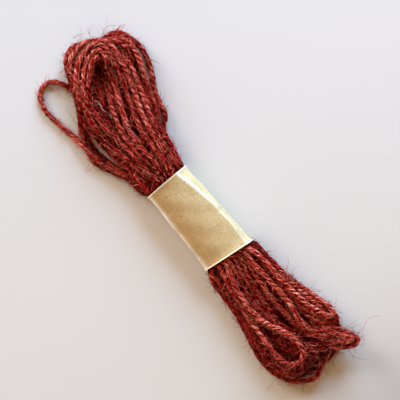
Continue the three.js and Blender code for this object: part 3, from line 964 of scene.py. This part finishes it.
def laid_on(line, points, thickness, reach=0.9 * THREAD):
    """The line let down until it lies across the tops of the turns, with its ends between them."""
    laid = line.copy()
    for n, place in enumerate(line):
        apart = np.hypot(points[:, 0] - place[0], points[:, 1] - place[1])
        near = apart < reach
        laid[n, 2] = points[near, 2].max(initial=0) + THREAD / 2 + thickness
    laid[[0, -1], 2] -= THREAD / 2
    return laid


def rounded_section(corners, steps=6):
    """The band's section as points round it, each fold bent over its own width."""
    corners = [np.array(corner) for corner in corners]
    points = []
    for n, corner in enumerate(corners):
        here, bend = corner[:2], corner[2]
        before = corners[n - 1][:2] - here
        after = corners[(n + 1) % len(corners)][:2] - here
        first = here + before / np.linalg.norm(before) * bend
        last = here + after / np.linalg.norm(after) * bend
        for t in np.linspace(0, 1, steps):
            points.append((1 - t) ** 2 * first + 2 * t * (1 - t) * here + t**2 * last)
    return np.array(points)


def section_lengths(section):
    """The section closed up from the middle of its underside, and the length to each point."""
    middle = 0.5 * (section[0] + section[-1])
    loop = np.concatenate([[middle], section, [middle]])
    return loop, np.concatenate([[0], np.cumsum(np.linalg.norm(np.diff(loop, axis=0), axis=1))])


def wrap_paper(x, run):
    """Where a point of the flat strip goes: x along the band, run from 0 to 1 round it."""
    loop, along = section_lengths(rounded_section(band_corners(band_share(x))))
    total = along[-1] + PAPER_OVERLAP
    place = run * total - PAPER_OVERLAP / 2
    at = place % along[-1]
    y = np.interp(at, along, loop[:, 0])
    z = np.interp(at, along, loop[:, 1])
    inner = np.clip(1 - (place + PAPER_OVERLAP / 2) / TUCK_RUN, 0, 1)
    tuck = TUCK_HEIGHT * inner * (inner * (3 - 2 * inner))
    waves = [size * math.sin(a * x + b * place + start) for size, a, b, start in SLACK_WAVES]
    flare = FLARE * max(0.0, (abs(x) - BAND_LENGTH / 2 + FLARE_RUN) / FLARE_RUN) ** 2
    from_nick = (x - NICK_PLACE[0]) ** 2 + (y - NICK_PLACE[1]) ** 2 + (z - NICK_PLACE[2]) ** 2
    nick = NICK_DEPTH * math.exp(-from_nick / NICK_SPREAD)
    out = np.array([y, z]) - np.array([0.0, BAND_HEIGHT / 2])
    out /= np.linalg.norm(out)
    off_floor = min(1.0, max(0.0, z / FLAT_HEIGHT))
    y, z = np.array([y, z]) + out * ((sum(waves) + flare) * off_floor - nick)
    x += FRONT_SKEW * y / (BAND_WIDTHS[1] / 2) * max(0.0, x) / (BAND_LENGTH / 2)
    return Vector((x * MM, y * MM, max(z, 0.0) * MM + tuck * MM))


def fold_wear_and_highlight(point):
    """How pale a point of the paper is: rubbing in patches along two folds, with a painted highlight
    along the top fold, less to the front end, and very little painted light on the side past the top fold."""
    x, y, z = point
    corners = band_corners(band_share(x))
    shoulder, top = corners[SHOULDER_FOLD], corners[TOP_FOLD]
    wear_and_highlight = 0.0
    for fold, width, most in ((shoulder, 1.0, 1.0), (top, 0.5 - 0.009 * x, 0.95)):
        distance = math.hypot(y - fold[0], z - fold[1])
        wear_and_highlight = max(wear_and_highlight, most * math.exp(-((distance / width) ** 2)))
    patchy = 0.75 - 0.012 * x + 0.15 * math.sin(0.9 * x) * math.cos(0.37 * x)
    past_top = min(1.0, max(0.0, (y - top[0]) / 0.8))
    return min(1.0, max(wear_and_highlight * patchy, 0.02 * past_top * min(1.0, z / 4)))


def paper_band(material):
    """A strip of paper wrapped round the threads and glued over itself underneath."""
    bpy.ops.object.select_all(action="DESELECT")
    along, around = STRIP_CELLS
    bpy.ops.mesh.primitive_grid_add(x_subdivisions=along, y_subdivisions=around, size=1)
    band = bpy.context.object
    band.name = "paper_wrap"
    band.data.uv_layers[0].name = "paper"
    for vert in band.data.vertices:
        vert.co = wrap_paper(vert.co.x * BAND_LENGTH, vert.co.y + 0.5)
    band.data.update()
    # Rubbing along the folds and a painted highlight along the top fold, kept for the material
    keep_values(band, "worn_and_highlight", [fold_wear_and_highlight(vert.co / MM) for vert in band.data.vertices])
    top = 0.8 * BAND_HEIGHT * MM
    if sum(face.normal.z for face in band.data.polygons if face.center.z > top) < 0:
        band.data.flip_normals()
    thicken = band.modifiers.new("thickness", "SOLIDIFY")
    thicken.thickness = PAPER * MM
    thicken.offset = -1
    bpy.ops.object.modifier_apply(modifier=thicken.name)
    bpy.ops.object.shade_smooth_by_angle(angle=math.radians(40))
    band.data.materials.append(material)
    return band


def new_material(name):
    """A new material, its nodes and its shader."""
    material = bpy.data.materials.new(name)
    material.use_nodes = True
    return material, material.node_tree, material.node_tree.nodes["Principled BSDF"]


def add_math(tree, operation, first, second=None):
    """A number made from one or two others, each a socket or a value."""
    node = tree.nodes.new("ShaderNodeMath")
    node.operation = operation
    for slot, value in enumerate((first, second)):
        if isinstance(value, bpy.types.NodeSocket):
            tree.links.new(value, node.inputs[slot])
        elif value is not None:
            node.inputs[slot].default_value = value
    return node.outputs["Value"]


def add_noise(tree, vector, scale, detail, roughness=0.55):
    """A cloudy pattern of numbers from 0 to 1."""
    node = tree.nodes.new("ShaderNodeTexNoise")
    node.inputs["Scale"].default_value = scale
    node.inputs["Detail"].default_value = detail
    node.inputs["Roughness"].default_value = roughness
    tree.links.new(vector, node.inputs["Vector"])
    return node.outputs["Fac"]


def add_ramp(tree, value, stops):
    """A colour for each value, from stops of position and colour."""
    node = tree.nodes.new("ShaderNodeValToRGB")
    ramp = node.color_ramp
    for n, (position, colour) in enumerate(stops):
        stop = ramp.elements[n] if n < 2 else ramp.elements.new(position)
        stop.position = position
        stop.color = (*colour, 1)
    tree.links.new(value, node.inputs["Fac"])
    return node.outputs["Color"]


def add_mix(tree, kind, factor, first, second):
    """Two colours laid over each other, each a socket or a value."""
    node = tree.nodes.new("ShaderNodeMix")
    node.data_type = "RGBA"
    node.blend_type = kind
    for slot, value in ((MIX_FACTOR, factor), (MIX_FIRST, first), (MIX_SECOND, second)):
        if isinstance(value, bpy.types.NodeSocket):
            tree.links.new(value, node.inputs[slot])
        else:
            node.inputs[slot].default_value = value
    return node.outputs[MIX_RESULT]


def add_bump(tree, height, strength, distance):
    """A normal raised by a pattern, as far as a distance in millimetres."""
    node = tree.nodes.new("ShaderNodeBump")
    node.inputs["Strength"].default_value = strength
    node.inputs["Distance"].default_value = distance * MM
    tree.links.new(height, node.inputs["Height"])
    return node.outputs["Normal"]


def add_kept(tree, name):
    """The number that keep_values keeps at each point of a piece."""
    node = tree.nodes.new("ShaderNodeAttribute")
    node.attribute_name = name
    return node.outputs["Fac"]


def add_uv(tree, name):
    """The two numbers of a piece's own map: across and along."""
    node = tree.nodes.new("ShaderNodeUVMap")
    node.uv_map = name
    return add_split(tree, node.outputs["UV"])[:2]


def add_split(tree, vector):
    """The three numbers of a place."""
    node = tree.nodes.new("ShaderNodeSeparateXYZ")
    tree.links.new(vector, node.inputs["Vector"])
    return [node.outputs[axis] for axis in "XYZ"]


def add_joined(tree, x, y=None):
    """A place on a pattern from one or two numbers."""
    node = tree.nodes.new("ShaderNodeCombineXYZ")
    tree.links.new(x, node.inputs["X"])
    if y is not None:
        tree.links.new(y, node.inputs["Y"])
    return node.outputs["Vector"]


def add_place(tree):
    """The place of a point on the object, in metres."""
    return tree.nodes.new("ShaderNodeTexCoord").outputs["Object"]


def set_shader(tree, shader, colour, roughness, normal=None, gloss=None, gloss_tint=None):
    """Joins a colour and a normal to the shader and sets the rest on its own sockets."""
    tree.links.new(colour, shader.inputs["Base Color"])
    shader.inputs["Roughness"].default_value = roughness
    if normal is not None:
        tree.links.new(normal, shader.inputs["Normal"])
    if gloss is not None:
        shader.inputs["Specular IOR Level"].default_value = gloss
    if gloss_tint is not None:
        shader.inputs["Specular Tint"].default_value = gloss_tint


def deep_shade(tree):
    """Painted shade: dark red between the turns, where the thread is hidden."""
    painted_shades = [(0.10, (1, 1, 1)), (0.45, (0.48, 0.050, 0.042)), (0.80, (0.13, 0.001, 0.0005))]
    return add_ramp(tree, add_kept(tree, "hidden"), painted_shades)


def jute_material():
    """Dyed jute: fibres slanting along each ply, the palest of them a painted highlight, painted shade in
    the grooves between the plies and between the turns, and a tone that changes along it.
    """
    material, tree, shader = new_material("rust_jute")
    around, length = add_uv(tree, "thread")
    tight = add_kept(tree, "tight")
    slanting = add_math(tree, "SUBTRACT", around, add_math(tree, "MULTIPLY", length, FIBRE_SLANT))
    fibres_round = add_math(tree, "MULTIPLY", slanting, FIBRES_ROUND)
    place = add_joined(tree, fibres_round, add_math(tree, "MULTIPLY", length, FIBRES_ALONG))
    coarse = add_noise(tree, place, scale=1, detail=1.5, roughness=0.5)
    fine = add_noise(tree, place, scale=1.2, detail=1.5, roughness=0.5)
    finer = add_math(tree, "MULTIPLY", tight, add_math(tree, "SUBTRACT", fine, coarse))
    fibre = add_math(tree, "ADD", coarse, finer)
    shade = add_noise(tree, add_joined(tree, length), scale=0.045, detail=2)
    turn = add_math(tree, "MULTIPLY", around, 2 * math.pi)
    groove = add_math(tree, "ABSOLUTE", add_math(tree, "SINE", turn))
    # Colours of the fibres: the dyed red, and a pale pink top stop that is a painted highlight
    dye_and_highlight_stops = [
        (0.41, (0.13, 0.001, 0.0005)),
        (0.49, (0.58, 0.014, 0.009)),
        (0.56, (0.93, 0.215, 0.152)),
        (0.63, (0.92, 0.575, 0.45)),
    ]
    # Painted shade in the grooves between the two plies, less where the band pulls the thread round
    groove_painted_shades = [(0.0, (0.20, 0.02, 0.016)), (0.27, (0.64, 0.38, 0.34)), (0.55, (1, 1, 1))]
    dye_and_highlight = add_ramp(tree, fibre, dye_and_highlight_stops)
    dark = add_ramp(tree, groove, groove_painted_shades)
    closed = add_math(tree, "MULTIPLY", tight, PULLED_SHARE)
    dark = add_mix(tree, "MIX", closed, dark, (1, 1, 1, 1))
    tone = add_ramp(tree, shade, [(0.35, (0.62, 0.50, 0.50)), (0.65, (1.0, 1.0, 1.0))])
    colour = add_mix(tree, "MULTIPLY", 1.0, add_mix(tree, "MULTIPLY", 1.0, dye_and_highlight, dark), tone)
    # Painted shade between the turns
    colour = add_mix(tree, "MULTIPLY", 1.0, colour, deep_shade(tree))
    normal = add_bump(tree, fibre, strength=0.9, distance=0.16)
    set_shader(tree, shader, colour, roughness=0.42, normal=normal, gloss=0.07, gloss_tint=JUTE_GLOSS)
    return material


def fibre_material(name, dark, light):
    """Single jute fibres, lighter and darker along them, darkened with painted shade where they are
    hidden.
    """
    material, tree, shader = new_material(name)
    shade = add_noise(tree, add_place(tree), scale=900, detail=2)
    hue = add_ramp(tree, shade, [(0.35, dark), (0.65, light)])
    # Painted shade between the turns
    colour = add_mix(tree, "MULTIPLY", 1.0, hue, deep_shade(tree))
    normal = add_bump(tree, shade, strength=0.2, distance=0.02)
    set_shader(tree, shader, colour, roughness=0.6, normal=normal, gloss=0.08, gloss_tint=JUTE_GLOSS)
    return material


def paper_material():
    """Cream wrapping paper: cloudy, speckled, a little glossy, pale along its cut edges, with painted
    light across it towards the top fold and a painted highlight along that fold.
    """
    material, tree, shader = new_material("cream_paper")
    place = add_place(tree)
    cloud = add_noise(tree, place, scale=190, detail=5)
    pulp = add_noise(tree, place, scale=1300, detail=3, roughness=0.7)
    # Painted light: the paper lighter across towards the top fold, darker on the side that faces away from
    # the window
    painted_light_to_top_fold = add_math(tree, "MULTIPLY", add_split(tree, place)[1], PAPER_PAINTED_LIGHT)
    painted_light_to_top_fold = add_math(tree, "ADD", painted_light_to_top_fold, 0.275)
    shade = add_math(tree, "ADD", add_math(tree, "MULTIPLY", cloud, 0.45), painted_light_to_top_fold)
    base = add_ramp(tree, shade, [(0.22, (0.51, 0.345, 0.155)), (0.78, (0.71, 0.615, 0.362))])
    grain = add_ramp(tree, pulp, [(0.3, (0.74, 0.71, 0.64)), (0.7, (1.0, 1.0, 1.0))])
    paper = add_mix(tree, "MULTIPLY", 1.0, base, grain)
    speck = tree.nodes.new("ShaderNodeTexVoronoi")
    speck.inputs["Scale"].default_value = 330
    tree.links.new(place, speck.inputs["Vector"])
    small = add_math(tree, "LESS_THAN", speck.outputs["Distance"], 0.13)
    rare = add_math(tree, "GREATER_THAN", add_noise(tree, place, scale=170, detail=1), 0.48)
    dot = add_math(tree, "MULTIPLY", add_math(tree, "MULTIPLY", small, rare), 0.55)
    spotted = add_mix(tree, "MIX", dot, paper, SPECK_BROWN)
    across, _ = add_uv(tree, "paper")
    from_middle = add_math(tree, "ABSOLUTE", add_math(tree, "SUBTRACT", across, 0.5))
    cut = add_math(tree, "GREATER_THAN", from_middle, 0.5 - CUT_EDGE / BAND_LENGTH)
    edged = add_mix(tree, "MIX", cut, spotted, CUT_CREAM)
    # Pale rubbing along the folds, with a painted highlight along the top fold
    rubbed_and_highlight = add_mix(tree, "MIX", add_kept(tree, "worn_and_highlight"), edged, RUBBED_AND_HIGHLIGHT_WHITE)
    normal = add_bump(tree, pulp, strength=0.25, distance=0.03)
    set_shader(tree, shader, rubbed_and_highlight, roughness=0.48, normal=normal, gloss=0.22)
    return material


def pale_material():
    """The pale surface under the hank, with painted shade: a little darker past the hank's two ends."""
    material, tree, shader = new_material("pale_surface")
    along = add_math(tree, "MULTIPLY", add_split(tree, add_place(tree))[0], 4)
    # Painted shade: the surface darker past the hank's ends, most past the front end
    painted_shades = [
        (0.08, (0.584, 0.594, 0.594)),
        (0.45, (0.643, 0.640, 0.626)),
        (0.70, (0.650, 0.652, 0.632)),
        (0.80, (0.615, 0.612, 0.594)),
        (0.90, (0.490, 0.475, 0.465)),
    ]
    colour = add_ramp(tree, add_math(tree, "ADD", along, 0.5), painted_shades)
    set_shader(tree, shader, colour, roughness=0.9)
    return material


def add_floor():
    """A wide plain surface under the hank."""
    bpy.ops.object.select_all(action="DESELECT")
    bpy.ops.mesh.primitive_plane_add(size=4)
    floor = bpy.context.object
    floor.name = "pale_surface"
    floor.data.materials.append(pale_material())


def add_camera():
    """Straight above the hank, turned and framed as the photograph is."""
    right = Vector((PHOTO_ALONG[0], PHOTO_ALONG[1], 0)).normalized()
    up = Vector((-PHOTO_ALONG[1], PHOTO_ALONG[0], 0)).normalized()
    centre = (PHOTO_SIZE / 2 - PHOTO_MIDDLE[0], PHOTO_SIZE / 2 - PHOTO_MIDDLE[1])
    aim = (right * centre[0] - up * centre[1]) * PIXEL * MM
    camera = bpy.data.cameras.new("camera")
    camera.sensor_width = SENSOR
    camera.lens = SENSOR * CAMERA_HEIGHT / (PHOTO_SIZE * PIXEL)
    eye = bpy.data.objects.new("camera", camera)
    turn = Matrix((right, up, Vector((0, 0, 1)))).transposed()
    eye.matrix_world = Matrix.Translation(aim + Vector((0, 0, CAMERA_HEIGHT * MM))) @ turn.to_4x4()
    bpy.context.scene.collection.objects.link(eye)
    bpy.context.scene.camera = eye


def add_light(name, place, size, power, colour):
    """A square lamp that shines at the middle of the band."""
    light = bpy.data.lights.new(name, "AREA")
    light.size = size
    light.energy = power
    light.color = colour
    lamp = bpy.data.objects.new(name, light)
    lamp.location = place
    lamp.rotation_euler = (-Vector(place)).to_track_quat("-Z", "Y").to_euler()
    bpy.context.scene.collection.objects.link(lamp)


def add_lights():
    """A cool window at the top of the photograph, a lamp at its upper left and warm room light."""
    add_light("window", (-0.59, 0.79, 0.40), size=0.6, power=23.4, colour=(0.49, 0.72, 1.0))
    add_light("lamp", (-0.98, -0.17, 0.40), size=0.5, power=10.8, colour=(1.0, 0.98, 0.96))
    world = bpy.context.scene.world or bpy.data.worlds.new("world")
    bpy.context.scene.world = world
    world.use_nodes = True
    sky = world.node_tree.nodes["Background"]
    sky.inputs["Color"].default_value = (1.0, 0.605, 0.30, 1)
    sky.inputs["Strength"].default_value = 0.527
    bpy.context.scene.view_settings.view_transform = "Standard"


add_camera()
add_floor()
add_lights()

settled = settle(thread_line())
settled_frames = thread_frames(settled)
settled_sky = open_sky(settled)
rings, along = ring_line(settled)
surface = thread_surface(rings, along, thread_frames(rings))
sky = np.interp(along, np.arange(len(settled)) * POINT_STEP, settled_sky)
hidden = surface_shade(surface, rings, settled, sky)
tight = tightness(rings)

jute = jute_material()
cuts = piece_cuts(rings)
for n in range(THREAD_PIECES):
    part = slice(cuts[n], cuts[n + 1] + 1)
    name = f"jute_turns_{n + 1}"
    piece = thread_piece(name, jute, surface[part], along[part], hidden[part], tight[part])
    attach(piece, "root")
    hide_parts("jute_hank")

red_fibre = fibre_material("red_fibre", (0.32, 0.030, 0.018), (0.74, 0.20, 0.135))
lying_fibre = fibre_material("lying_fibre", (0.08, 0.001, 0.0006), (1.0, 0.23, 0.15))
brown_fibre = fibre_material("brown_fibre", (0.26, 0.08, 0.06), (0.50, 0.22, 0.17))
pale_fibre = fibre_material("pale_fibre", (0.66, 0.46, 0.38), (0.86, 0.70, 0.61))
long_roots = fibre_roots(settled, settled_frames, settled_sky, LONG_FIBRES)
long_lengths = np.clip(rng.lognormal(*LONG_SPREAD, len(long_roots[0])), *LONG_LIMITS)
lying_roots = fibre_roots(settled, settled_frames, settled_sky, LYING_FIBRES)
lying_lengths = rng.uniform(*LYING_LENGTHS, len(lying_roots[0]))
lying_thickness = rng.uniform(*LYING_THICKNESS, len(lying_roots[0]))
at_ends = (settled[:, 0] < WHISKER_ENDS[0]) | (settled[:, 0] > WHISKER_ENDS[1])
whisker_roots = fibre_roots(settled, settled_frames, settled_sky, WHISKERS, at_ends)
whisker_lengths = rng.uniform(*WHISKER_LENGTHS, len(whisker_roots[0]))
whisker_curves = [smooth_line(from_photo(rows), step=0.2) for rows in WHISKER_LINES]
placed_lines = np.stack([even_count(curve, PLACED_POINTS) for curve in whisker_curves])
pale_line = laid_on(smooth_line(from_photo(PALE_FIBRE), step=0.8), rings, PALE_THICKNESS)
fibres = [
    fibre_piece(
        "long_fibres", red_fibre, long_roots, long_lengths,
        thickness=0.085, root=STANDING_ROOT, rise=(0.35, 1.0), curl=0.75, steps=5,
    ),
    fibre_piece(
        "lying_fibres", lying_fibre, lying_roots, lying_lengths,
        thickness=lying_thickness, root=LYING_ROOT, rise=(0.0, 0.25), curl=0.2, steps=3,
    ),
    fibre_piece(
        "whiskers", brown_fibre, whisker_roots, whisker_lengths,
        thickness=0.13, root=STANDING_ROOT, rise=(0.5, 1.0), curl=4.0, steps=10,
    ),
    tube_bundle(
        "placed_whiskers", brown_fibre, placed_lines, PLACED_THICKNESS, np.zeros(len(placed_lines))
    ),
    tube_bundle("pale_fibre", pale_fibre, pale_line[None], PALE_THICKNESS, np.zeros(1)),
]
for piece in fibres:
    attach(piece, "root")

band = paper_band(paper_material())
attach(band, "root")
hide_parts("paper_band")
